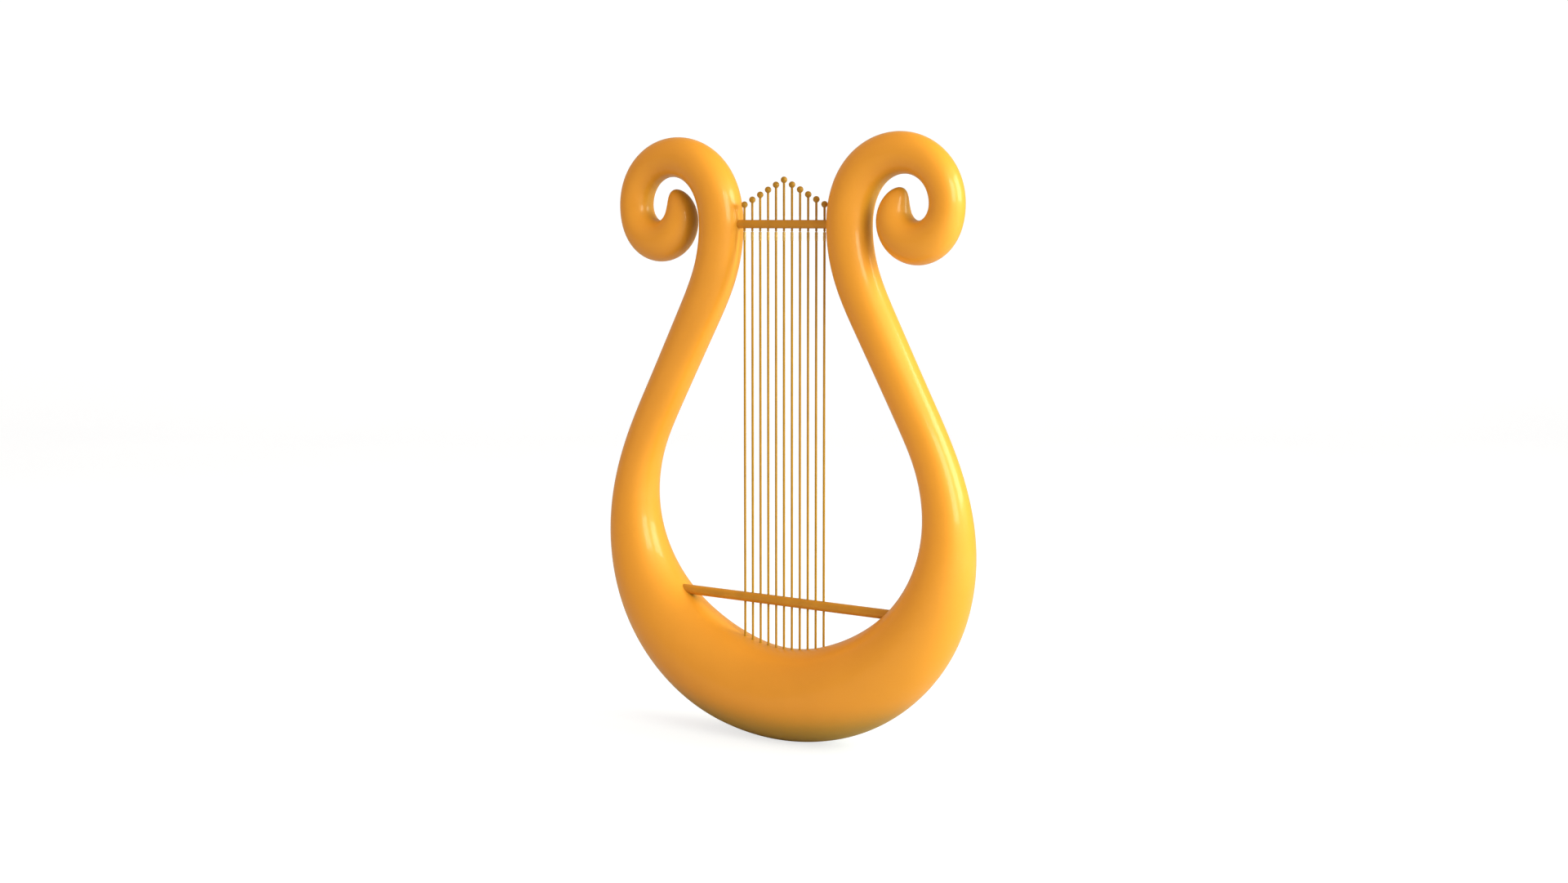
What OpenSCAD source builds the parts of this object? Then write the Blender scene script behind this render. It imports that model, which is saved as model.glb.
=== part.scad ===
// Lyre: a hollow crescent bowl, two arms with outward scrolls, a crossbar carrying
// ball-headed tuning screws, a bridge bar and eleven strings.
// Origin: centre of the small flat the bowl rests on. X runs across the strings,
// -Y is the player's far side (the front), +Z is up the strings.

/* [Frame tube] */
// Radius of the tube at the bottom of the bowl
bowl_r = 48; // [46:0.5:50]
// Radius of the tube where the bowl has narrowed to the neck
waist_r = 21.5; // [20:0.5:23]
// Radius of the tube where the arm turns over at the top
crook_r = 23.5; // [22:0.5:24]
// Smallest radius of the tube in the scroll
scroll_r = 18; // [16.5:0.5:18.5]
// Radius of the bulb at the end of the scroll
bulb_r = 22; // [20:0.5:22]
// Length of the bulb's rounded tip
tip_l = 68; // [60:1:70]

/* [Bowl] */
// Wall thickness of the hollow bowl
wall = 6; // [5:0.5:8]
// How much is planed off the bottom to make the flat the lyre rests on
foot_cut = 1.5; // [1:0.25:2.5]
// Distance along the tube from the bottom centre to the joint with the arm
bowl_end = 330; // [315:15:345]
// Distance along the tube from the bottom centre to the joint with the scroll
scroll_start = 690; // [680:5:700]

/* [Crossbar and bridge] */
// Diameter of the crossbar between the arms
crossbar_d = 8.7; // [8:0.1:10]
// Height of the crossbar's axis above the flat
crossbar_z = 535.5; // [525:0.5:545]
// Diameter of the bridge bar across the bowl's opening
bridge_d = 10.2; // [9:0.1:11]
// Height of the bridge bar's axis above the flat
bridge_z = 144.5; // [140:0.5:155]

/* [Strings and pins] */
// Distance between neighbouring strings
string_pitch = 10; // [9:0.25:10]
// Diameter of a string
string_d = 2.4; // [2:0.1:2.4]
// Diameter of the ball on a tuning pin
ball_d = 6.7; // [5:0.1:8]
// Height of the middle ball above the crossbar's axis
ball_rise = 45; // [40:1:50]
// How much lower each ball sits than its neighbour nearer the middle
ball_step = 5; // [3:0.5:6]

/* [Hidden] */

// The tube's centreline on the right-hand side, from the bottom centre outwards:
// the length of each arc and the angle it turns through (inward is positive)
arcs = [
    [160, 43.5],   // floor of the bowl
    [170, 57.5],   // flank of the bowl
    [70, 17.5],    // shoulder
    [155, 0],      // straight neck
    [95, -35.5],   // neck leaning back out
    [105, -102],   // crook
    [90, -105],    // fall of the scroll
    [98, -205]     // curl
];
// Half the distance over which one arc eases into the next
ease = 24;

// Radius of the tube at distances from the bottom centre
swells = [
    [0, bowl_r], [60, bowl_r], [400, waist_r], [660, crook_r], [815, scroll_r], [875, bulb_r]
];
last = len(swells) - 1;
tube_end = swells[last][0];
path_step = 2.5;
path_n = ceil((tube_end + tip_l) / path_step);

// Ring spacings along the tube and flats around half of it
bowl_pitch = 15;
arm_pitch = 12;
scroll_pitch = 6;
half_flats = 16;

// Joinery
end_block_l = 45;
arm_dowel_r = 6;
arm_dowel_l = 60;
scroll_dowel_r = 5;
scroll_dowel_l = 36;
glue_gap = 1;
glue_film = 0.1;
shell_pin_r = 1.5;
shell_pin_l = 12;
shell_pin_places = [-250, -100, 100, 250];

// String rail, anchors and the holes the strings pass through
rail_x = 116;
rail_y = 18;
rail_z = 76 - foot_cut;
rail_reach = 75;
anchor_r = 2.6;
anchor_l = 5;
string_r = string_d / 2;
snug_hole_r = string_r + 0.15;
shell_hole_r = string_r + 0.3;

// Crossbar, bridge bar and the string layout
string_count = 11;
middle = (string_count + 1) / 2;
crossbar_r = crossbar_d / 2;
crossbar_l = 144;
bridge_r = bridge_d / 2;
bridge_l = 280;

// Tuning pin and swivel, measured down from the crossbar's axis
pin_r = string_r;
running_gap = 0.05;
pin_travel_up = 2.7;
swivel_r = string_r + 0.25;
swivel_top = crossbar_z - crossbar_r - pin_travel_up - 0.8;
swivel_l = 9;
stem_clear = 0.5;
pin_neck_r = 0.55;
pin_neck_l = 4.5;
pin_head_r = 0.9;
pin_head_l = 1.5;
head_play = 0.2;
seat_l = 2.5;
pin_foot = swivel_top + stem_clear;
string_top = swivel_top - swivel_l + seat_l;
string_foot = rail_z - anchor_l;

over = 0.5;
$fn = 48;

// Distance (k = 0) and heading (k = 1) at the end of the first n arcs
function run(n, k) = n == 0 ? 0 : arcs[n - 1][k] + run(n - 1, k);
turns = [for (n = [0 : len(arcs)]) [run(n, 0), run(n, 1)]];

// Heading of the tube at distance s: 0 is outward, 90 is straight up; negative s is
// the left-hand side. The heading is averaged over the easing distance.
function arc_heading(s) = sign(s) * lookup(abs(s), turns);
function right_heading(s) =
    (arc_heading(s - ease) + arc_heading(s - ease / 2) + arc_heading(s)
     + arc_heading(s + ease / 2) + arc_heading(s + ease)) / 5;
function heading(s) = sign(s) * right_heading(abs(s));

// Radius of the tube at distance s, with a smooth change from one swell to the next
function leg(s, i = 0) = i < last - 1 && s >= swells[i + 1][0] ? leg(s, i + 1) : i;
function swell(s) =
    let (i = leg(s), a = swells[i], b = swells[i + 1], t = (s - a[0]) / (b[0] - a[0]))
    a[1] + (b[1] - a[1]) * (1 - cos(180 * t)) / 2;
function radius(s) =
    abs(s) < tube_end ? swell(abs(s))
    : bulb_r * sqrt(max(0, 1 - pow((abs(s) - tube_end) / tip_l, 2)));

// Centreline points, built up step by step along the heading
function step_along(a) = path_step * [cos(a), sin(a)];
path = [
    for (i = 0, p = [0, bowl_r - foot_cut]; i <= path_n;
         p = p + step_along(right_heading((i + 0.5) * path_step)), i = i + 1) p
];
function right_centre(s) =
    let (f = s / path_step, i = min(floor(f), path_n - 1))
    path[i] + (f - i) * (path[i + 1] - path[i]);
function centre(s) =
    let (c = right_centre(abs(s))) [s < 0 ? -c[0] : c[0], c[1]];

// Point on the tube: angle 0 faces the inside of the curve, 90 faces the front
function tube_point(s, r, a) =
    let (c = centre(s), h = heading(s))
    [c[0] - r * cos(a) * sin(h), -r * sin(a), c[1] + r * cos(a) * cos(h)];
function ring(s, r, from, to, n) =
    [for (j = [0 : n]) tube_point(s, r, from + (to - from) * j / n)];
function full_ring(s, r) = ring(s, r, 0, 360 - 180 / half_flats, 2 * half_flats - 1);
function shell_ring(s, from) =
    concat(ring(s, radius(s), from, from + 180, half_flats),
           ring(s, radius(s) - wall, from + 180, from, half_flats));
function stations(from, to, pitch) =
    let (n = ceil((to - from) / pitch)) [for (i = [0 : n]) from + (to - from) * i / n];

// Solid between a row of rings; with an apex the last ring closes on one point
module sweep(rings, apex = undef) {
    n = len(rings[0]);
    m = len(rings);
    pts = concat([for (r = rings, p = r) p], is_undef(apex) ? [] : [apex]);
    sides = [
        for (i = [0 : m - 2], j = [0 : n - 1])
            let (a = i * n + j, b = i * n + (j + 1) % n)
            each [[a, b + n, b], [a, a + n, b + n]]
    ];
    start_cap = [
        for (j = [0 : n / 2 - 2])
            each [[j, n - 2 - j, n - 1 - j], [j, j + 1, n - 2 - j]]
    ];
    e = (m - 1) * n;
    end_cap = is_undef(apex)
        ? [for (f = start_cap) [e + f[0], e + f[2], e + f[1]]]
        : [for (j = [0 : n - 1]) [e + j, e + n, e + (j + 1) % n]];
    polyhedron(points = pts, faces = concat(sides, start_cap, end_cap));
}

// Places its children on the tube at distance s, their Z axis along the tube
module on_tube(s) {
    c = centre(s);
    translate([c[0], 0, c[1]]) rotate([0, 90 - heading(s), 0]) children();
}

module on_side(side) {
    if (side < 0) mirror([1, 0, 0]) children();
    else children();
}

module cross_rod(r, l) {
    rotate([0, 90, 0]) cylinder(r = r, h = l, center = true);
}

function string_x(k) = (k - middle) * string_pitch;
module each_string() {
    for (k = [1 : string_count]) translate([string_x(k), 0, 0]) children();
}

// The seam pins' places on the inner (in = 1) and outer (in = -1) wall of the bowl
module shell_pin_cut(l) {
    for (s = shell_pin_places, in = [-1, 1])
        translate(tube_point(s, radius(s) - wall / 2, in > 0 ? 0 : 180))
            rotate([90, 0, 0]) cylinder(r = shell_pin_r, h = l, center = true);
}

module bowl_shell(from) {
    difference() {
        sweep([for (s = stations(-bowl_end, bowl_end, bowl_pitch)) shell_ring(s, from)]);
        translate([-bowl_r, -bowl_r, -2 * foot_cut]) cube([2 * bowl_r, 2 * bowl_r, 2 * foot_cut]);
        shell_pin_cut(shell_pin_l + glue_gap);
        each_string()
            translate([0, 0, rail_z]) cylinder(r = shell_hole_r, h = wall * 6);
        translate([0, 0, bridge_z]) cross_rod(bridge_r, bridge_l);
    }
}

module bowl_front_shell() {
    color("goldenrod") bowl_shell(0);
}

module bowl_back_shell() {
    color("goldenrod") bowl_shell(180);
}

module end_block() {
    difference() {
        sweep([
            for (s = stations(bowl_end - end_block_l, bowl_end, bowl_pitch))
                full_ring(s, radius(s) - wall - glue_film)
        ]);
        on_tube(bowl_end)
            cylinder(r = arm_dowel_r, h = arm_dowel_l + 2 * glue_gap, center = true);
    }
}

module left_end_block() {
    color("burlywood") on_side(-1) end_block();
}

module right_end_block() {
    color("burlywood") on_side(1) end_block();
}

module arm() {
    difference() {
        sweep([
            for (s = stations(bowl_end + glue_film, scroll_start - glue_film, arm_pitch))
                full_ring(s, radius(s))
        ]);
        on_tube(bowl_end)
            cylinder(r = arm_dowel_r, h = arm_dowel_l + 2 * glue_gap, center = true);
        on_tube(scroll_start)
            cylinder(r = scroll_dowel_r, h = scroll_dowel_l + 2 * glue_gap, center = true);
        translate([0, 0, crossbar_z]) cross_rod(crossbar_r, crossbar_l);
    }
}

module left_arm() {
    color("goldenrod") on_side(-1) arm();
}

module right_arm() {
    color("goldenrod") on_side(1) arm();
}

module scroll() {
    tip_angles = [6 : 6 : 84];
    body = stations(scroll_start, tube_end, scroll_pitch);
    tip = [for (a = tip_angles) tube_end + tip_l * sin(a)];
    difference() {
        sweep([for (s = concat(body, tip)) full_ring(s, radius(s))],
              tube_point(tube_end + tip_l, 0, 0));
        on_tube(scroll_start)
            cylinder(r = scroll_dowel_r, h = scroll_dowel_l + 2 * glue_gap, center = true);
    }
}

module left_scroll() {
    color("goldenrod") on_side(-1) scroll();
}

module right_scroll() {
    color("goldenrod") on_side(1) scroll();
}

module arm_dowels() {
    color("burlywood") for (side = [-1, 1])
        on_side(side) on_tube(bowl_end)
            cylinder(r = arm_dowel_r, h = arm_dowel_l, center = true);
}

module scroll_dowels() {
    color("burlywood") for (side = [-1, 1])
        on_side(side) on_tube(scroll_start)
            cylinder(r = scroll_dowel_r, h = scroll_dowel_l, center = true);
}

module shell_pins() {
    color("burlywood") shell_pin_cut(shell_pin_l);
}

// The rail's top follows the bowl's ceiling and is glued to it over its whole length
module string_rail() {
    color("burlywood") difference() {
        intersection() {
            sweep([
                for (s = stations(-rail_reach, rail_reach, bowl_pitch))
                    full_ring(s, radius(s) - wall - glue_film)
            ]);
            translate([-rail_x / 2, -rail_y / 2, rail_z]) cube([rail_x, rail_y, bowl_r]);
        }
        each_string()
            translate([0, 0, rail_z - over]) cylinder(r = snug_hole_r, h = bowl_r);
    }
}

module string_anchors() {
    color("gold") each_string() difference() {
        translate([0, 0, string_foot]) cylinder(r = anchor_r, h = anchor_l);
        translate([0, 0, string_foot - over]) cylinder(r = string_r, h = anchor_l + 2 * over);
    }
}

module crossbar() {
    color("darkgoldenrod") translate([0, 0, crossbar_z]) difference() {
        cross_rod(crossbar_r, crossbar_l);
        each_string()
            cylinder(r = pin_r + running_gap, h = crossbar_d + 2 * over, center = true);
    }
}

module bridge_bar() {
    color("darkgoldenrod") translate([0, 0, bridge_z]) difference() {
        cross_rod(bridge_r, bridge_l);
        each_string() cylinder(r = snug_hole_r, h = bridge_d + 2 * over, center = true);
    }
}

module string(k) {
    color("peru") translate([string_x(k), 0, string_foot])
        cylinder(r = string_r, h = string_top - string_foot);
}

// Ball-headed screw: plain shank through the crossbar, then a neck and a small
// head that turn inside the swivel
module tuning_pin(k) {
    ball_z = crossbar_z + ball_rise - ball_step * abs(k - middle);
    color("peru") translate([string_x(k), 0, 0]) {
        translate([0, 0, ball_z]) sphere(d = ball_d);
        translate([0, 0, pin_foot]) cylinder(r = pin_r, h = ball_z - pin_foot);
        translate([0, 0, pin_foot - pin_neck_l]) cylinder(r = pin_neck_r, h = pin_neck_l);
        translate([0, 0, pin_foot - pin_neck_l - pin_head_l])
            cylinder(r = pin_head_r, h = pin_head_l);
    }
}

module swivel(k) {
    neck_floor = pin_foot - pin_neck_l + head_play;
    chamber_l = pin_head_l + 2 * head_play;
    color("gold") translate([string_x(k), 0, 0]) difference() {
        translate([0, 0, swivel_top - swivel_l]) cylinder(r = swivel_r, h = swivel_l);
        translate([0, 0, neck_floor - over])
            cylinder(r = pin_neck_r + running_gap, h = swivel_l);
        translate([0, 0, neck_floor - chamber_l])
            cylinder(r = pin_head_r + running_gap, h = chamber_l);
        translate([0, 0, string_top - seat_l - over]) cylinder(r = string_r, h = seat_l + over);
    }
}

bowl_front_shell();
bowl_back_shell();
left_end_block();
right_end_block();
left_arm();
right_arm();
left_scroll();
right_scroll();
arm_dowels();
scroll_dowels();
shell_pins();
string_rail();
string_anchors();
crossbar();
bridge_bar();
string(1);  // string_01
string(2);  // string_02
string(3);  // string_03
string(4);  // string_04
string(5);  // string_05
string(6);  // string_06
string(7);  // string_07
string(8);  // string_08
string(9);  // string_09
string(10);  // string_10
string(11);  // string_11
tuning_pin(1);  // tuning_pin_01
tuning_pin(2);  // tuning_pin_02
tuning_pin(3);  // tuning_pin_03
tuning_pin(4);  // tuning_pin_04
tuning_pin(5);  // tuning_pin_05
tuning_pin(6);  // tuning_pin_06
tuning_pin(7);  // tuning_pin_07
tuning_pin(8);  // tuning_pin_08
tuning_pin(9);  // tuning_pin_09
tuning_pin(10);  // tuning_pin_10
tuning_pin(11);  // tuning_pin_11
swivel(1);  // swivel_01
swivel(2);  // swivel_02
swivel(3);  // swivel_03
swivel(4);  // swivel_04
swivel(5);  // swivel_05
swivel(6);  // swivel_06
swivel(7);  // swivel_07
swivel(8);  // swivel_08
swivel(9);  // swivel_09
swivel(10);  // swivel_10
swivel(11);  // swivel_11
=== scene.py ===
"""Looks for the lyre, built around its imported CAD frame. Lengths are in metres."""
import math

import bmesh
import bpy
import numpy as np
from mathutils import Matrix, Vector


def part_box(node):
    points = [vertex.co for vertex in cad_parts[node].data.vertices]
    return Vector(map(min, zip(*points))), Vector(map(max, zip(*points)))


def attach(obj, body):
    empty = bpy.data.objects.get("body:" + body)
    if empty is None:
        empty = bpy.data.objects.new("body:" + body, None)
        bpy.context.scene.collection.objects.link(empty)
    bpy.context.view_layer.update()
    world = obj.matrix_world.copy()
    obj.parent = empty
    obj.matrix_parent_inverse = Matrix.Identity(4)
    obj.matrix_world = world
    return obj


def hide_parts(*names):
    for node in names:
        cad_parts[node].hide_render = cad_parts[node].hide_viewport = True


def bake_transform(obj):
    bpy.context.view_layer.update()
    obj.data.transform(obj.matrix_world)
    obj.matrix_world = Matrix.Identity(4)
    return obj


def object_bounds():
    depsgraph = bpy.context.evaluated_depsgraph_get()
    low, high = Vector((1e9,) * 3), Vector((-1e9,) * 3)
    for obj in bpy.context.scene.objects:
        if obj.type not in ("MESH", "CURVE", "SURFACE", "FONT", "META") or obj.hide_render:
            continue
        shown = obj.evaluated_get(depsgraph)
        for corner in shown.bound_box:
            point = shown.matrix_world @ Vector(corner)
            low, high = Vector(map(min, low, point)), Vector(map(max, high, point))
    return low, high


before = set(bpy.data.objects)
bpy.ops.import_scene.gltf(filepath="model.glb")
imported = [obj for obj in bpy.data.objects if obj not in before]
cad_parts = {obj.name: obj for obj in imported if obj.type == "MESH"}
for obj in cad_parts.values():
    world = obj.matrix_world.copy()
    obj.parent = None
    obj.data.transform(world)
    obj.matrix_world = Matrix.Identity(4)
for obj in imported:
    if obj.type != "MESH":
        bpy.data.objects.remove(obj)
cad_low, cad_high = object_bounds()

MM = 0.001
FRAME_BODY = "frame"
STRING_NUMBERS = range(1, 12)

# The tube's centreline on the right-hand side, as in part.scad, from the bottom centre
# outwards: the length of each arc (mm) and the angle it turns through (inward positive).
ARCS = np.array([
    [160, 43.5],   # floor of the bowl
    [170, 57.5],   # flank of the bowl
    [70, 17.5],    # shoulder
    [155, 0],      # straight neck
    [95, -35.5],   # neck leaning back out
    [105, -102],   # crook
    [90, -105],    # fall of the scroll
    [98, -205],    # curl
])
TURNS = np.vstack([[0, 0], np.cumsum(ARCS, axis=0)])
EASE = 24.0

# Radius of the tube at distances from the bottom centre (mm)
SWELLS = np.array([[0, 48], [60, 48], [400, 21.5], [660, 23.5], [815, 18], [875, 22]])
BOTTOM_RADIUS = SWELLS[0, 1]
TUBE_END, BULB_RADIUS = SWELLS[-1]
TIP_LENGTH = 68.0
BOWL_END = 330.0
SCROLL_START = 690.0
WALL = 6.0
FOOT_CUT = 1.5

# Clearances round what passes through a piece (metres)
SOCKET_GAP = 0.03 * MM
SHELL_HOLE_GAP = 0.3 * MM
PIN_HOLE_GAP = 0.05 * MM
BRIDGE_HOLE_GAP = 0.15 * MM

# How finely the tube is followed and meshed (mm, and flats around it)
PATH_STEP = 0.25
RING_STEP = 3.0
SCROLL_RING_STEP = 2.0
TIP_ANGLES = np.arange(2, 90, 2)
FLATS = 96

# Camera and light: angles in degrees, the camera's distance in heights of the lyre
HEIGHT = cad_high[2] - cad_low[2]
MID_HEIGHT = 0.498 * HEIGHT
CAMERA_AZIMUTH = 35.2
CAMERA_ELEVATION = 6.1
CAMERA_DISTANCE = 3.45
WINDOW_COLOUR = (0.84, 1.0, 0.80)
AMBIENT_COLOUR = (1.0, 0.91, 0.78)
AMBIENT = 0.87
MIRRORED_AMBIENT = 0.12
FLOOR_BOUNCE = (0.55, 0.55, 0.55)
FLOOR_GLOW = 0.72


# ---------------------------------------------------------------- the tube's geometry
def arc_heading(s):
    """Heading in degrees at signed distances s, before easing."""
    return np.sign(s) * np.interp(np.abs(s), TURNS[:, 0], TURNS[:, 1])


def right_heading(s):
    """Heading in radians at distances s of the right-hand side, eased between arcs."""
    return np.radians(np.mean([arc_heading(s + k * EASE / 2) for k in range(-2, 3)], axis=0))


def swell(s):
    """Tube radius in mm at distances s, before the scroll's rounded tip."""
    i = np.clip(np.searchsorted(SWELLS[:, 0], s, side="right") - 1, 0, len(SWELLS) - 2)
    t = np.clip((s - SWELLS[i, 0]) / (SWELLS[i + 1, 0] - SWELLS[i, 0]), 0, 1)
    return SWELLS[i, 1] + (SWELLS[i + 1, 1] - SWELLS[i, 1]) * (1 - np.cos(np.pi * t)) / 2


def tube_radius(s):
    """Tube radius in mm at distances s, with the scroll's rounded tip."""
    past = np.clip((np.abs(s) - TUBE_END) / TIP_LENGTH, 0, 1)
    return swell(np.abs(s)) * np.sqrt(1 - past**2)


# Points along the centreline, built up step by step along the heading (mm)
PATH_S = np.arange(0, TUBE_END + TIP_LENGTH + PATH_STEP, PATH_STEP)
STEP_HEADING = right_heading((PATH_S[1:] + PATH_S[:-1]) / 2)
PATH_X = PATH_STEP * np.append(0, np.cumsum(np.cos(STEP_HEADING)))
PATH_Z = BOTTOM_RADIUS - FOOT_CUT + PATH_STEP * np.append(0, np.cumsum(np.sin(STEP_HEADING)))


def tube_axis(s):
    """Centre points (mm), tangents and inward normals of the tube at signed distances s."""
    side = np.where(s < 0, -1.0, 1.0)
    x = side * np.interp(np.abs(s), PATH_S, PATH_X)
    z = np.interp(np.abs(s), PATH_S, PATH_Z)
    h = side * right_heading(np.abs(s))
    zero = np.zeros_like(x)
    centre = np.stack([x, zero, z], -1)
    tangent = np.stack([np.cos(h), zero, np.sin(h)], -1)
    inward = np.stack([-np.sin(h), zero, np.cos(h)], -1)
    return centre, tangent, inward


def tube_rings(s, radius, angles):
    """Points in metres; angle 0 faces the inside of the curve and 90 the front."""
    centre, _, inward = tube_axis(s)
    a = np.radians(angles)
    front = np.array([0, -1.0, 0])
    spoke = np.cos(a)[None, :, None] * inward[:, None, :] + np.sin(a)[None, :, None] * front
    return (centre[:, None, :] + radius[:, None, None] * spoke) * MM


def stations(start, end, step):
    """Even distances from start to end, no more than step apart."""
    return np.linspace(start, end, int(math.ceil((end - start) / step)) + 1)


# ---------------------------------------------------------------- mesh helpers
def add_object(name, data):
    """Object in the scene for a mesh, light or camera."""
    obj = bpy.data.objects.new(name, data)
    bpy.context.scene.collection.objects.link(obj)
    return obj


def ring_faces(m, n):
    """Quads between m rings of n points each."""
    i, j = np.meshgrid(np.arange(m - 1), np.arange(n), indexing="ij")
    a = (i * n + j).ravel()
    b = (i * n + (j + 1) % n).ravel()
    return np.stack([a, a + n, b + n, b], -1).tolist()


def strip_cap(n, first, flip):
    """Cap across one ring, in quads that pair opposite points of the ring."""
    faces = [
        [first + j, first + j + 1, first + n - 2 - j, first + n - 1 - j]
        for j in range(n // 2 - 1)
    ]
    return [f[::-1] for f in faces] if flip else faces


def sweep_mesh(name, rings, apex=None):
    """Closed solid through a row of rings; an apex closes the last ring on a point."""
    m, n = rings.shape[:2]
    points = rings.reshape(-1, 3).tolist()
    faces = ring_faces(m, n) + strip_cap(n, 0, flip=False)
    last = (m - 1) * n
    if apex is None:
        faces += strip_cap(n, last, flip=True)
    else:
        points.append(list(apex))
        faces += [[last + j, len(points) - 1, last + (j + 1) % n] for j in range(n)]
    mesh = bpy.data.meshes.new(name)
    mesh.from_pydata(points, [], faces)
    face_outwards(mesh)
    return add_object(name, mesh)


def face_outwards(mesh):
    """Turns every face outwards and shades the mesh smooth."""
    bm = bmesh.new()
    bm.from_mesh(mesh)
    bmesh.ops.recalc_face_normals(bm, faces=bm.faces)
    bm.to_mesh(mesh)
    bm.free()
    mesh.polygons.foreach_set("use_smooth", [True] * len(mesh.polygons))


def lathe(name, profile, flats, origin, along="Z"):
    """Turned solid; profile is a list of (radius, height) in metres, ends on the axis."""
    profile = np.array(profile, float)
    turn = np.linspace(0, 2 * math.pi, flats, endpoint=False)
    body = profile[1:-1]
    x = body[:, :1] * np.cos(turn)
    y = body[:, :1] * np.sin(turn)
    z = np.repeat(body[:, 1:], flats, 1)
    points = np.stack([x, y, z], -1).reshape(-1, 3)
    ends = np.array([[0, 0, profile[0, 1]], [0, 0, profile[-1, 1]]])
    points = np.concatenate([points, ends])
    if along == "X":
        points = points[:, [2, 0, 1]]
    points = points + np.array(origin)
    m, low, high = len(body), len(body) * flats, len(body) * flats + 1
    faces = ring_faces(m, flats)
    last = (m - 1) * flats
    for j in range(flats):
        k = (j + 1) % flats
        faces.append([j, k, low])
        faces.append([last + k, last + j, high])
    mesh = bpy.data.meshes.new(name)
    mesh.from_pydata(points.tolist(), [], faces)
    face_outwards(mesh)
    return add_object(name, mesh)


def rod_profile(radius, start, end, edge, rings):
    """Plain round rod with small rounded edges, its length split into rings."""
    quarter = np.radians([0, 30, 60, 90])
    low = [(radius - edge + edge * math.sin(a), start + edge - edge * math.cos(a)) for a in quarter]
    high = [(r, start + end - z) for r, z in reversed(low)]
    between = [(radius, z) for z in np.linspace(start + edge, end - edge, rings + 1)[1:-1]]
    return [(0, start)] + low + between + high + [(0, end)]


def cut(obj, cutters):
    """Subtracts the cutter solids from obj and removes them."""
    for cutter in cutters:
        modifier = obj.modifiers.new("cut", "BOOLEAN")
        modifier.operation = "DIFFERENCE"
        modifier.solver = "EXACT"
        modifier.object = cutter
    bpy.context.view_layer.update()
    solid = obj.evaluated_get(bpy.context.evaluated_depsgraph_get())
    mesh = bpy.data.meshes.new_from_object(solid)
    obj.modifiers.clear()
    old, obj.data = obj.data, mesh
    mesh.name = obj.name
    bpy.data.meshes.remove(old)
    for cutter in cutters:
        bpy.data.meshes.remove(cutter.data)


def joined(objects):
    """One cutter made of several separate solids."""
    bm = bmesh.new()
    for o in objects:
        bm.from_mesh(o.data)
    mesh = bpy.data.meshes.new("cutter")
    bm.to_mesh(mesh)
    bm.free()
    for o in objects:
        bpy.data.meshes.remove(o.data)
    return add_object("cutter", mesh)


def sharpen(obj, angle=40):
    """Smooth shading with crisp edges above an angle in degrees."""
    mesh = obj.data
    mesh.polygons.foreach_set("use_smooth", [True] * len(mesh.polygons))
    mesh.set_sharp_from_angle(angle=math.radians(angle))


def exact_skin_normals(obj, low, high):
    """Gives the outer skin the tube's true normals, so that pieces meet without a
    shading seam. low and high are the distances along the tube that obj spans."""
    skin_depth = 0.15
    foot_depth = 0.05
    least_agreement = 0.93
    mesh = obj.data
    count = len(mesh.vertices)
    co = np.empty(count * 3)
    mesh.vertices.foreach_get("co", co)
    co = co.reshape(-1, 3) / MM
    s_near = nearest_station(co, low, high)
    centre, tangent, inward = tube_axis(s_near)
    spoke = co - centre
    bend = heading_change(s_near)
    squeeze = 1 - bend * np.einsum("ij,ij->i", spoke, inward)
    taper = radius_taper(s_near)
    normal = spoke * squeeze[:, None] - taper[:, None] * tangent
    length = np.linalg.norm(normal, axis=1, keepdims=True)
    normal = normal / np.maximum(length, 1e-9)
    on_skin = np.abs(np.linalg.norm(spoke, axis=1) - tube_radius(s_near)) < skin_depth
    loops = np.empty(len(mesh.loops), int)
    mesh.loops.foreach_get("vertex_index", loops)
    corner = np.empty(len(mesh.loops) * 3, np.float32)
    mesh.corner_normals.foreach_get("vector", corner)
    corner = corner.reshape(-1, 3)
    for face in mesh.polygons:
        at = list(face.loop_indices)
        v = loops[at]
        true = normal[v]
        in_foot = np.all(co[v, 2] < foot_depth)
        agrees = true.mean(0) @ np.array(face.normal) > least_agreement
        if np.all(on_skin[v]) and agrees and not in_foot:
            corner[at] = true
    mesh.normals_split_custom_set(corner.tolist())


def nearest_station(co, low, high):
    """Signed distance along the tube of the centre nearest each point (mm)."""
    coarse_step, batch = 1.0, 4000
    s = np.arange(low, high + PATH_STEP / 2, coarse_step)
    centre = tube_axis(s)[0][:, [0, 2]]
    near = np.empty(len(co))
    for start in range(0, len(co), batch):
        block = co[start:start + batch][:, [0, 2]]
        gap = ((block[:, None, :] - centre[None]) ** 2).sum(2)
        near[start:start + batch] = s[gap.argmin(1)]
    for _ in range(4):
        c, tangent, inward = tube_axis(near)
        spoke = co - c
        along = np.einsum("ij,ij->i", spoke, tangent)
        squeeze = 1 - heading_change(near) * np.einsum("ij,ij->i", spoke, inward)
        near = np.clip(near + along / np.maximum(squeeze, 0.1), low, high)
    return near


def heading_change(s):
    """Curvature of the centreline, per mm; the same on both sides."""
    h = 0.5
    a = np.maximum(np.abs(s) - h, 0)
    b = np.abs(s) + h
    return (right_heading(b) - right_heading(a)) / (b - a)


def radius_taper(s):
    """Radius times its rate of change along the tube, in mm, signed with s."""
    side = np.where(s < 0, -1.0, 1.0)
    h = 0.5
    a = np.abs(s)
    slope = (swell(a + h) - swell(np.maximum(a - h, 0))) / (2 * h)
    past = np.clip((a - TUBE_END) / TIP_LENGTH, 0, 1)
    in_tip = -BULB_RADIUS**2 * past / TIP_LENGTH
    return side * np.where(a < TUBE_END, swell(a) * slope, in_tip)


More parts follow.
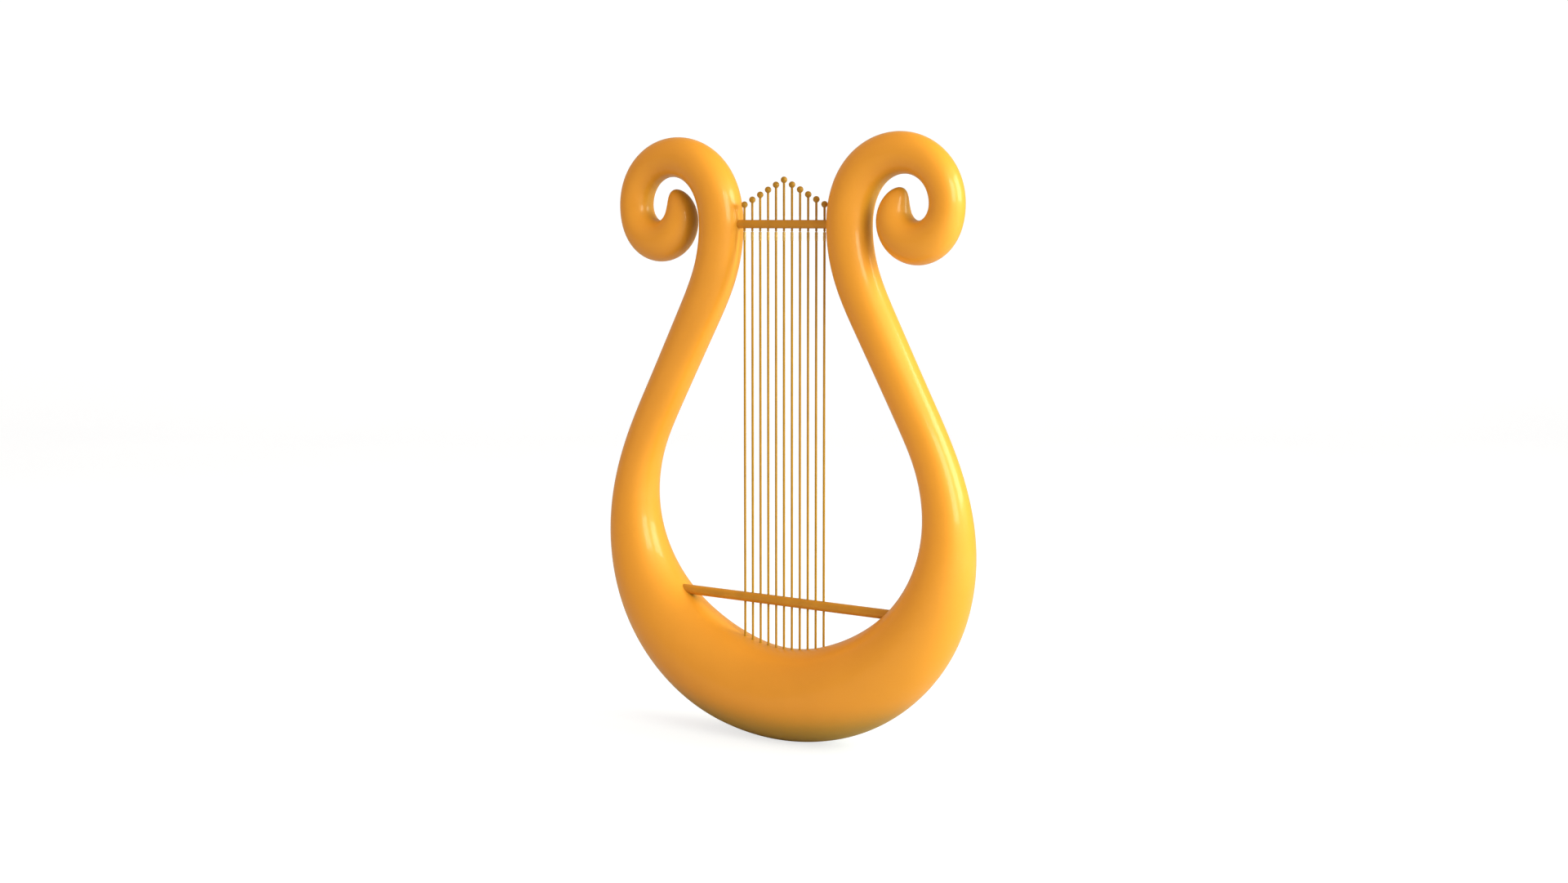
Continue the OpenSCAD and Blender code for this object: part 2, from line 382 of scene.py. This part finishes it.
# ---------------------------------------------------------------- materials
def new_material(name):
    """Node material with one principled shader: material, its node tree and shader."""
    material = bpy.data.materials.new(name)
    material.use_nodes = True
    tree = material.node_tree
    tree.nodes.clear()
    out = tree.nodes.new("ShaderNodeOutputMaterial")
    shader = tree.nodes.new("ShaderNodeBsdfPrincipled")
    tree.links.new(shader.outputs["BSDF"], out.inputs["Surface"])
    return material, tree, shader


def noise(tree, scale, detail, stretch=None):
    """Noise on object coordinates, so that it runs on unbroken from piece to piece."""
    coord = tree.nodes.new("ShaderNodeTexCoord")
    mapping = tree.nodes.new("ShaderNodeMapping")
    if stretch:
        mapping.inputs["Scale"].default_value = stretch
    tex = tree.nodes.new("ShaderNodeTexNoise")
    tex.inputs["Scale"].default_value = scale
    tex.inputs["Detail"].default_value = detail
    tree.links.new(coord.outputs["Object"], mapping.inputs["Vector"])
    tree.links.new(mapping.outputs["Vector"], tex.inputs["Vector"])
    return tex.outputs["Fac"]


def ramp(tree, value, low, high, low_colour, high_colour):
    """Colour that runs from low_colour at low to high_colour at high."""
    node = tree.nodes.new("ShaderNodeValToRGB")
    node.color_ramp.elements[0].position = low
    node.color_ramp.elements[1].position = high
    node.color_ramp.elements[0].color = (*low_colour, 1)
    node.color_ramp.elements[1].color = (*high_colour, 1)
    tree.links.new(value, node.inputs["Fac"])
    return node.outputs["Color"]


def spread(tree, value, low, high):
    """Maps noise from its usual 0.3 to 0.7 onto low to high."""
    node = tree.nodes.new("ShaderNodeMapRange")
    node.inputs["From Min"].default_value = 0.3
    node.inputs["From Max"].default_value = 0.7
    node.inputs["To Min"].default_value = low
    node.inputs["To Max"].default_value = high
    tree.links.new(value, node.inputs["Value"])
    return node.outputs["Result"]


def bump(tree, value, strength, distance, below=None):
    """Normal bent by a height, distance in metres; below is the normal under it."""
    node = tree.nodes.new("ShaderNodeBump")
    node.inputs["Strength"].default_value = strength
    node.inputs["Distance"].default_value = distance
    tree.links.new(value, node.inputs["Height"])
    if below is not None:
        tree.links.new(below, node.inputs["Normal"])
    return node.outputs["Normal"]


def recess(tree, distance, low, high):
    """0 in deep recesses, where the gilt's shade is painted, and 1 on open surfaces."""
    shade = tree.nodes.new("ShaderNodeAmbientOcclusion")
    shade.samples = 8
    shade.inputs["Distance"].default_value = distance
    node = tree.nodes.new("ShaderNodeMapRange")
    node.interpolation_type = "SMOOTHSTEP"
    node.inputs["From Min"].default_value = low
    node.inputs["From Max"].default_value = high
    tree.links.new(shade.outputs["AO"], node.inputs["Value"])
    return node.outputs["Result"]


def mix_colour(tree, share, first, second):
    """First colour where share is 0 and second where it is 1."""
    node = tree.nodes.new("ShaderNodeMix")
    node.data_type = "RGBA"
    tree.links.new(share, node.inputs["Factor"])
    for value, socket in ((first, node.inputs["A"]), (second, node.inputs["B"])):
        if isinstance(value, tuple):
            socket.default_value = (*value, 1)
        else:
            tree.links.new(value, socket)
    return node.outputs["Result"]


def gilded_lacquer():
    """Gold paint over carved wood under a clear coat, with painted shade: olive-dark in the
    recesses, where the coat is also thinner to dim highlights.
    """
    material, tree, shader = new_material("gilded_lacquer")
    tone = noise(tree, 9.0, 3.0)
    gold = ramp(tree, tone, 0.3, 0.7, (0.84, 0.318, 0.021), (0.90, 0.345, 0.024))
    # Painted shade: ambient occlusion darkens the gold towards olive (0.47, 0.25, 0.020) in
    # recesses and between parts.
    unshaded_share = recess(tree, 0.07, 0.20, 0.90)
    gold_with_painted_shade = mix_colour(tree, unshaded_share, (0.47, 0.25, 0.020), gold)
    tree.links.new(gold_with_painted_shade, shader.inputs["Base Color"])
    sheen = noise(tree, 40.0, 5.0)
    tree.links.new(spread(tree, sheen, 0.42, 0.50), shader.inputs["Roughness"])
    shader.inputs["Metallic"].default_value = 0.05
    shader.inputs["Specular IOR Level"].default_value = 0.4
    # The coat thins under the same painted shade, which dims highlights in the recesses.
    coat = tree.nodes.new("ShaderNodeMapRange")
    coat.inputs["To Min"].default_value = 0.12
    coat.inputs["To Max"].default_value = 0.32
    tree.links.new(unshaded_share, coat.inputs["Value"])
    tree.links.new(coat.outputs["Result"], shader.inputs["Coat Weight"])
    shader.inputs["Coat Roughness"].default_value = 0.11
    carving = bump(tree, noise(tree, 22.0, 2.0), 0.15, 0.0006)
    peel = bump(tree, noise(tree, 420.0, 2.0), 0.06, 0.0001, carving)
    tree.links.new(peel, shader.inputs["Normal"])
    return material


def bronze(name, dark, light, roughness, grain, specular):
    """Drawn or turned bronze; grain is the scale, stretch and depth of its fine marks."""
    material, tree, shader = new_material(name)
    tone = noise(tree, 60.0, 3.0)
    tree.links.new(ramp(tree, tone, 0.3, 0.7, dark, light), shader.inputs["Base Color"])
    grain_scale, grain_stretch, grain_depth = grain
    marks = noise(tree, grain_scale, 3.0, grain_stretch)
    low, high = roughness
    tree.links.new(spread(tree, marks, low, high), shader.inputs["Roughness"])
    shader.inputs["Metallic"].default_value = 0.12
    shader.inputs["Specular IOR Level"].default_value = specular
    tree.links.new(bump(tree, marks, 0.3, grain_depth), shader.inputs["Normal"])
    return material


def wound_bronze():
    """String wound with fine bronze wire."""
    winding_pitch = 0.6 * MM
    material, tree, shader = new_material("wound_bronze")
    tone = noise(tree, 60.0, 3.0)
    bronzed = ramp(tree, tone, 0.3, 0.7, (0.46, 0.22, 0.014), (0.54, 0.26, 0.018))
    tree.links.new(bronzed, shader.inputs["Base Color"])
    coord = tree.nodes.new("ShaderNodeTexCoord")
    wave = tree.nodes.new("ShaderNodeTexWave")
    wave.bands_direction = "Z"
    wave.inputs["Scale"].default_value = 2 * math.pi / (20 * winding_pitch)
    tree.links.new(coord.outputs["Object"], wave.inputs["Vector"])
    tree.links.new(bump(tree, wave.outputs["Fac"], 0.5, 0.00008), shader.inputs["Normal"])
    shader.inputs["Roughness"].default_value = 0.42
    shader.inputs["Metallic"].default_value = 0.12
    shader.inputs["Specular IOR Level"].default_value = 0.2
    return material


def bare_wood():
    """Plain planed beech, inside the bowl and the joints."""
    material, tree, shader = new_material("bare_wood")
    grain = noise(tree, 30.0, 6.0, (1.0, 8.0, 8.0))
    colour = ramp(tree, grain, 0.35, 0.65, (0.36, 0.20, 0.09), (0.62, 0.41, 0.22))
    tree.links.new(colour, shader.inputs["Base Color"])
    shader.inputs["Roughness"].default_value = 0.62
    tree.links.new(bump(tree, grain, 0.25, 0.0002), shader.inputs["Normal"])
    return material


GILT = gilded_lacquer()
BAR = bronze("bar_bronze", (0.59, 0.240, 0.019), (0.67, 0.275, 0.022), (0.36, 0.46),
             (300.0, (0.1, 1.0, 1.0), 0.0001), 0.35)
STRING = wound_bronze()
PIN = bronze("pin_bronze", (0.42, 0.19, 0.016), (0.50, 0.23, 0.020), (0.26, 0.36),
             (700.0, (1.0, 1.0, 3.0), 0.00004), 0.35)
FITTING = bronze("fitting_bronze", (0.55, 0.31, 0.06), (0.68, 0.40, 0.09), (0.25, 0.35),
                 (700.0, (1.0, 1.0, 3.0), 0.00004), 0.5)
WOOD = bare_wood()


def finish_piece(obj, body, material, node):
    """Names a piece after the CAD node it stands for, and gives it its finish and body."""
    obj.name = obj.data.name = node + "_fine"
    obj.data.materials.clear()
    obj.data.materials.append(material)
    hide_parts(node)
    if body:
        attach(obj, body)


# ---------------------------------------------------------------- frame pieces
def node_middle(node):
    """Middle of a CAD node's box."""
    low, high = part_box(node)
    return (low + high) / 2


def string_names(prefix):
    return [f"{prefix}_{k:02d}" for k in STRING_NUMBERS]


def wire_radius():
    """Radius of a string, and of the screw's shank above it."""
    low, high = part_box("string_01")
    return (high.x - low.x) / 2


def rod_cutter(node, spare):
    """A bar's own solid, a little fatter, for the sockets that hold its ends."""
    low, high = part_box(node)
    middle = (low + high) / 2
    radius = (high.z - low.z) / 2 + spare
    profile = [(0, low.x), (radius, low.x), (radius, high.x), (0, high.x)]
    return lathe("cutter", profile, 64, (0, middle.y, middle.z), "X")


def string_hole_cutter(radius, low, high):
    """One upright rod for each string, from low to high."""
    rods = []
    for name in string_names("string"):
        at = node_middle(name)
        profile = [(0, low), (radius, low), (radius, high), (0, high)]
        rods.append(lathe("rod", profile, 24, (at.x, at.y, 0)))
    return joined(rods)


def foot_cutter():
    """Block under the floor plane, which planes the flat on the bowl."""
    half = BOTTOM_RADIUS * MM
    mesh = bpy.data.meshes.new("foot")
    bm = bmesh.new()
    bmesh.ops.create_cube(bm, size=2 * half)
    bmesh.ops.translate(bm, verts=bm.verts, vec=(0, 0, -half))
    bm.to_mesh(mesh)
    bm.free()
    return add_object("foot", mesh)


def build_bowl_shell(name, first_angle):
    """Half of the hollow bowl: outer skin, inner wall and the glued seam's faces."""
    s = stations(-BOWL_END, BOWL_END, RING_STEP)
    half = np.linspace(0, 180, FLATS // 2 + 1)
    outer = tube_rings(s, tube_radius(s), first_angle + half)
    inner = tube_rings(s, tube_radius(s) - WALL, first_angle + half[::-1])
    shell = sweep_mesh(name, np.concatenate([outer, inner], 1))
    rail_low, rail_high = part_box("string_rail")
    string_holes = string_hole_cutter(
        wire_radius() + SHELL_HOLE_GAP, rail_low.z, rail_high.z + 2 * WALL * MM)
    cut(shell, [foot_cutter(), string_holes, rod_cutter("bridge_bar", SOCKET_GAP)])
    sharpen(shell)
    exact_skin_normals(shell, -BOWL_END, BOWL_END)
    finish_piece(shell, FRAME_BODY, GILT, name)


def build_arm(name, side):
    """Neck from the bowl to the scroll; side is -1 on the left and 1 on the right."""
    s = stations(BOWL_END, SCROLL_START, RING_STEP)
    angles = np.linspace(0, 360, FLATS, endpoint=False)
    arm = sweep_mesh(name, tube_rings(side * s, tube_radius(s), angles))
    cut(arm, [rod_cutter("crossbar", SOCKET_GAP)])
    sharpen(arm)
    exact_skin_normals(arm, *sorted((side * BOWL_END, side * SCROLL_START)))
    finish_piece(arm, FRAME_BODY, GILT, name)


def build_scroll(name, side):
    """Scroll with its rounded tip, closed on a point."""
    body = stations(SCROLL_START, TUBE_END, SCROLL_RING_STEP)
    tip = TUBE_END + TIP_LENGTH * np.sin(np.radians(TIP_ANGLES))
    s = np.concatenate([body, tip])
    angles = np.linspace(0, 360, FLATS, endpoint=False)
    tube_tip = np.array([side * (TUBE_END + TIP_LENGTH)])
    apex = tube_axis(tube_tip)[0][0] * MM
    scroll = sweep_mesh(name, tube_rings(side * s, tube_radius(s), angles), apex)
    sharpen(scroll)
    limits = sorted((side * SCROLL_START, side * (TUBE_END + TIP_LENGTH)))
    exact_skin_normals(scroll, *limits)
    finish_piece(scroll, FRAME_BODY, GILT, name)


def pierced_bar(node, hole, rings):
    """Round bar along X with one countersunk hole for each string."""
    low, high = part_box(node)
    middle = (low + high) / 2
    radius = (high.z - low.z) / 2
    profile = rod_profile(radius, low.x, high.x, 0.6 * MM, rings)
    bar = lathe(node, profile, 96, (0, middle.y, middle.z), "X")
    mouth, lip = hole + 0.4 * MM, 0.4 * MM
    top = radius + 0.5 * MM
    side = [(hole, radius - 2 * lip), (mouth, radius - lip / 3), (mouth, top)]
    profile = [(0, -top)] + [(r, -z) for r, z in reversed(side)] + side + [(0, top)]
    rods = []
    for name in string_names("string"):
        at = node_middle(name)
        rods.append(lathe("rod", profile, 32, (at.x, at.y, middle.z)))
    cut(bar, [joined(rods)])
    sharpen(bar, 30)
    finish_piece(bar, FRAME_BODY, BAR, node)


# ---------------------------------------------------------------- strings and pins
def build_string(k):
    """Wound string that stretches between the frame and its swivel."""
    name = f"string_{k:02d}"
    low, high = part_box(name)
    radius = (high.x - low.x) / 2
    middle = (low + high) / 2
    profile = rod_profile(radius, low.z, high.z, 0.15 * MM, rings=45)
    wire = lathe(name, profile, 24, (middle.x, middle.y, 0))
    sharpen(wire, 50)
    finish_piece(wire, None, STRING, name)
    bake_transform(wire)


def build_pin(k):
    """Ball-headed screw: ball, fillet, threaded shank, then a neck and small head."""
    name = f"tuning_pin_{k:02d}"
    low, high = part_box(name)
    middle = (low + high) / 2
    ball = (high.x - low.x) / 2
    ball_z = high.z - ball
    shank, neck, head = wire_radius(), 0.55 * MM, 0.9 * MM
    head_l, neck_l = 1.5 * MM, 4.5 * MM
    bevel, shoulder = 0.15 * MM, 0.2 * MM
    pitch, depth = 0.45 * MM, 0.13 * MM
    flats = 32
    foot = low.z + head_l + neck_l
    profile = [(0, low.z), (head - bevel, low.z), (head, low.z + bevel)]
    profile += [(head, low.z + head_l - bevel), (neck, low.z + head_l), (neck, foot)]
    profile += [(shank - shoulder, foot), (shank, foot + shoulder)]
    thread_foot = foot + 0.3 * MM
    thread_top = node_middle("crossbar").z + 8.5 * MM
    thread = np.arange(thread_foot, thread_top, pitch / 6)
    first_thread = len(profile)
    profile += [(shank, z) for z in thread]
    last_thread = len(profile)
    fillet = 0.9 * MM
    start = math.asin((shank + fillet) / (ball + fillet))
    centre_r = shank + fillet
    centre_z = ball_z - (ball + fillet) * math.cos(start)
    profile += [(shank, z) for z in np.linspace(thread_top, centre_z, 8)[1:-1]]
    for a in np.linspace(0, math.pi / 2 - start, 7):
        profile.append((centre_r - fillet * math.cos(a), centre_z + fillet * math.sin(a)))
    for a in np.linspace(start, math.pi, 28)[1:-1]:
        profile.append((ball * math.sin(a), ball_z - ball * math.cos(a)))
    profile.append((0, high.z))
    pin = lathe(name, profile, flats, (middle.x, middle.y, 0))
    cut_thread(pin, first_thread - 1, last_thread - 1, flats, pitch, depth, shank, middle)
    sharpen(pin, 60)
    finish_piece(pin, f"tuner_{k:02d}", PIN, name)


def cut_thread(pin, first, last, flats, pitch, depth, shank, middle):
    """Sinks a right-hand thread into the shank's rings, shallower towards both ends."""
    mesh = pin.data
    fade_rings = 6
    for ring in range(first, last):
        fade = min(1.0, (ring - first) / fade_rings, (last - 1 - ring) / fade_rings)
        for j in range(flats):
            v = mesh.vertices[ring * flats + j]
            turn = v.co.z / pitch - j / flats
            groove = abs(2 * (turn - math.floor(turn)) - 1)
            radius = shank - depth * fade * groove
            angle = 2 * math.pi * j / flats
            v.co.x = middle.x + radius * math.cos(angle)
            v.co.y = middle.y + radius * math.sin(angle)


def build_swivel(k):
    """Crimped barrel that lets the screw turn without twisting the string."""
    name = f"swivel_{k:02d}"
    low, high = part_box(name)
    middle = (low + high) / 2
    radius = (high.x - low.x) / 2
    length = high.z - low.z
    bore, chamber, seat = 0.6 * MM, 0.95 * MM, wire_radius()
    chamber_top, chamber_floor = high.z - 3.8 * MM, high.z - 5.7 * MM
    seat_top = low.z + 2.5 * MM
    edge = 0.2 * MM
    outside = [(seat, low.z), (radius - edge / 2, low.z), (radius, low.z + edge)]
    for share in (0.16, 0.62):
        z = low.z + share * length
        outside += [(radius, z - 0.45 * MM), (radius - 0.1 * MM, z - 0.2 * MM)]
        outside += [(radius - 0.1 * MM, z + 0.2 * MM), (radius, z + 0.45 * MM)]
    outside += [(radius, high.z - 3 * edge), (radius - 2 * edge, high.z), (bore, high.z)]
    inside = [(bore, chamber_top), (chamber, chamber_top), (chamber, chamber_floor)]
    profile = [(0, seat_top), (seat, seat_top)] + outside + inside + [(0, chamber_floor)]
    barrel = lathe(name, profile, 32, (middle.x, middle.y, 0))
    sharpen(barrel)
    finish_piece(barrel, f"carrier_{k:02d}", FITTING, name)


# ---------------------------------------------------------------- hidden CAD nodes
def finish_hidden_nodes():
    """Gives the enclosed CAD nodes their finishes; their shapes stay as packed."""
    hidden = {
        "left_end_block": WOOD, "right_end_block": WOOD, "arm_dowels": WOOD,
        "scroll_dowels": WOOD, "shell_pins": WOOD, "string_rail": WOOD,
        "string_anchors": FITTING,
    }
    for node, material in hidden.items():
        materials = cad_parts[node].data.materials
        materials.clear()
        materials.append(material)


# ---------------------------------------------------------------- stage, light, camera
def build_floor():
    """Pale floor that curves up into a pale backdrop far behind the lyre."""
    width, front, back, rise = 12.0, -6.0, 5.0, 6.0
    bend = 2.0
    outline = [(front, 0.0), (back - bend, 0.0)]
    for a in np.linspace(0, math.pi / 2, 13)[1:]:
        outline.append((back - bend + bend * math.sin(a), bend - bend * math.cos(a)))
    outline.append((back, rise))
    azimuth = math.radians(CAMERA_AZIMUTH)
    across = np.array([math.cos(azimuth), math.sin(azimuth)])
    away = np.array([-math.sin(azimuth), math.cos(azimuth)])
    points, faces = [], []
    for y, z in outline:
        for x in (-width, width):
            points.append([*(across * x + away * y), z])
    for i in range(len(outline) - 1):
        faces.append([2 * i, 2 * i + 1, 2 * i + 3, 2 * i + 2])
    mesh = bpy.data.meshes.new("floor")
    mesh.from_pydata(points, [], faces)
    mesh.polygons.foreach_set("use_smooth", [True] * len(faces))
    mesh.materials.append(pale_floor())
    add_object("floor", mesh)


def pale_floor():
    """Pale grey, with a glow that only the camera sees, so that it reads as white."""
    material, tree, shader = new_material("pale_floor")
    seen = tree.nodes.new("ShaderNodeLightPath").outputs["Is Camera Ray"]
    tone = ramp(tree, noise(tree, 1.5, 2.0), 0.3, 0.7, (0.34, 0.36, 0.42), (0.36, 0.38, 0.44))
    tree.links.new(mix_colour(tree, seen, FLOOR_BOUNCE, tone), shader.inputs["Base Color"])
    shader.inputs["Emission Color"].default_value = (1, 1, 1, 1)
    glow = tree.nodes.new("ShaderNodeMath")
    glow.operation = "MULTIPLY"
    glow.inputs[1].default_value = FLOOR_GLOW
    tree.links.new(seen, glow.inputs[0])
    tree.links.new(glow.outputs[0], shader.inputs["Emission Strength"])
    shader.inputs["Roughness"].default_value = 0.9
    return material


def aim_at_lyre(obj, azimuth, elevation, distance):
    """Places obj round the lyre's middle, facing it; azimuth 0 is the front."""
    a, e = math.radians(azimuth), math.radians(elevation)
    middle = Vector((0, 0, MID_HEIGHT))
    obj.location = middle + distance * Vector(
        (math.sin(a) * math.cos(e), -math.cos(a) * math.cos(e), math.sin(e)))
    obj.rotation_euler = (middle - obj.location).to_track_quat("-Z", "Y").to_euler()


def add_area(name, azimuth, elevation, distance, size, power):
    """Soft box aimed at the lyre; azimuth is measured from the camera, + to its right."""
    light = bpy.data.lights.new(name, "AREA")
    light.shape = "RECTANGLE"
    light.size, light.size_y = size
    light.energy = power
    light.color = WINDOW_COLOUR
    obj = add_object(name, light)
    aim_at_lyre(obj, CAMERA_AZIMUTH + azimuth, elevation, distance)
    obj.visible_camera = False
    return obj


def build_world():
    """Warm soft surroundings, dim in reflections and plain white to the camera."""
    world = bpy.data.worlds.new("studio")
    world.use_nodes = True
    tree = world.node_tree
    tree.nodes.clear()
    rays = tree.nodes.new("ShaderNodeLightPath")
    strength = tree.nodes.new("ShaderNodeMapRange")
    strength.inputs["To Min"].default_value = AMBIENT
    strength.inputs["To Max"].default_value = MIRRORED_AMBIENT
    tree.links.new(rays.outputs["Is Glossy Ray"], strength.inputs["Value"])
    soft = tree.nodes.new("ShaderNodeBackground")
    soft.inputs["Color"].default_value = (*AMBIENT_COLOUR, 1)
    tree.links.new(strength.outputs["Result"], soft.inputs["Strength"])
    plain = tree.nodes.new("ShaderNodeBackground")
    plain.inputs["Color"].default_value = (1, 1, 1, 1)
    choice = tree.nodes.new("ShaderNodeMixShader")
    tree.links.new(rays.outputs["Is Camera Ray"], choice.inputs["Fac"])
    tree.links.new(soft.outputs["Background"], choice.inputs[1])
    tree.links.new(plain.outputs["Background"], choice.inputs[2])
    out = tree.nodes.new("ShaderNodeOutputWorld")
    tree.links.new(choice.outputs["Shader"], out.inputs["Surface"])
    bpy.context.scene.world = world


def build_light():
    """Two windows to the right of the camera, and a low fill without highlights."""
    add_area("near_window", 39, 20, 3.4, (1.33, 1.56), 60)
    add_area("far_window", 79, 23, 2.0, (0.92, 0.92), 27)
    fill = add_area("fill", 75, 3, 2.0, (1.2, 1.2), 14)
    fill.visible_glossy = False


def build_camera():
    """Camera at the reference angle; its distance scales with the lyre's height."""
    camera = bpy.data.cameras.new("camera")
    camera.sensor_width = 36
    camera.lens = 48
    obj = add_object("camera", camera)
    aim_at_lyre(obj, CAMERA_AZIMUTH, CAMERA_ELEVATION, CAMERA_DISTANCE * HEIGHT)
    bpy.context.scene.camera = obj


# ---------------------------------------------------------------- the lyre and its stage
build_bowl_shell("bowl_front_shell", 0)
build_bowl_shell("bowl_back_shell", 180)
for side, label in ((-1, "left"), (1, "right")):
    build_arm(f"{label}_arm", side)
    build_scroll(f"{label}_scroll", side)
pierced_bar("crossbar", wire_radius() + PIN_HOLE_GAP, rings=48)
pierced_bar("bridge_bar", wire_radius() + BRIDGE_HOLE_GAP, rings=60)
for number in STRING_NUMBERS:
    build_string(number)
    build_pin(number)
    build_swivel(number)
finish_hidden_nodes()
build_floor()
build_world()
build_light()
build_camera()
bpy.context.scene.view_settings.view_transform = "Standard"
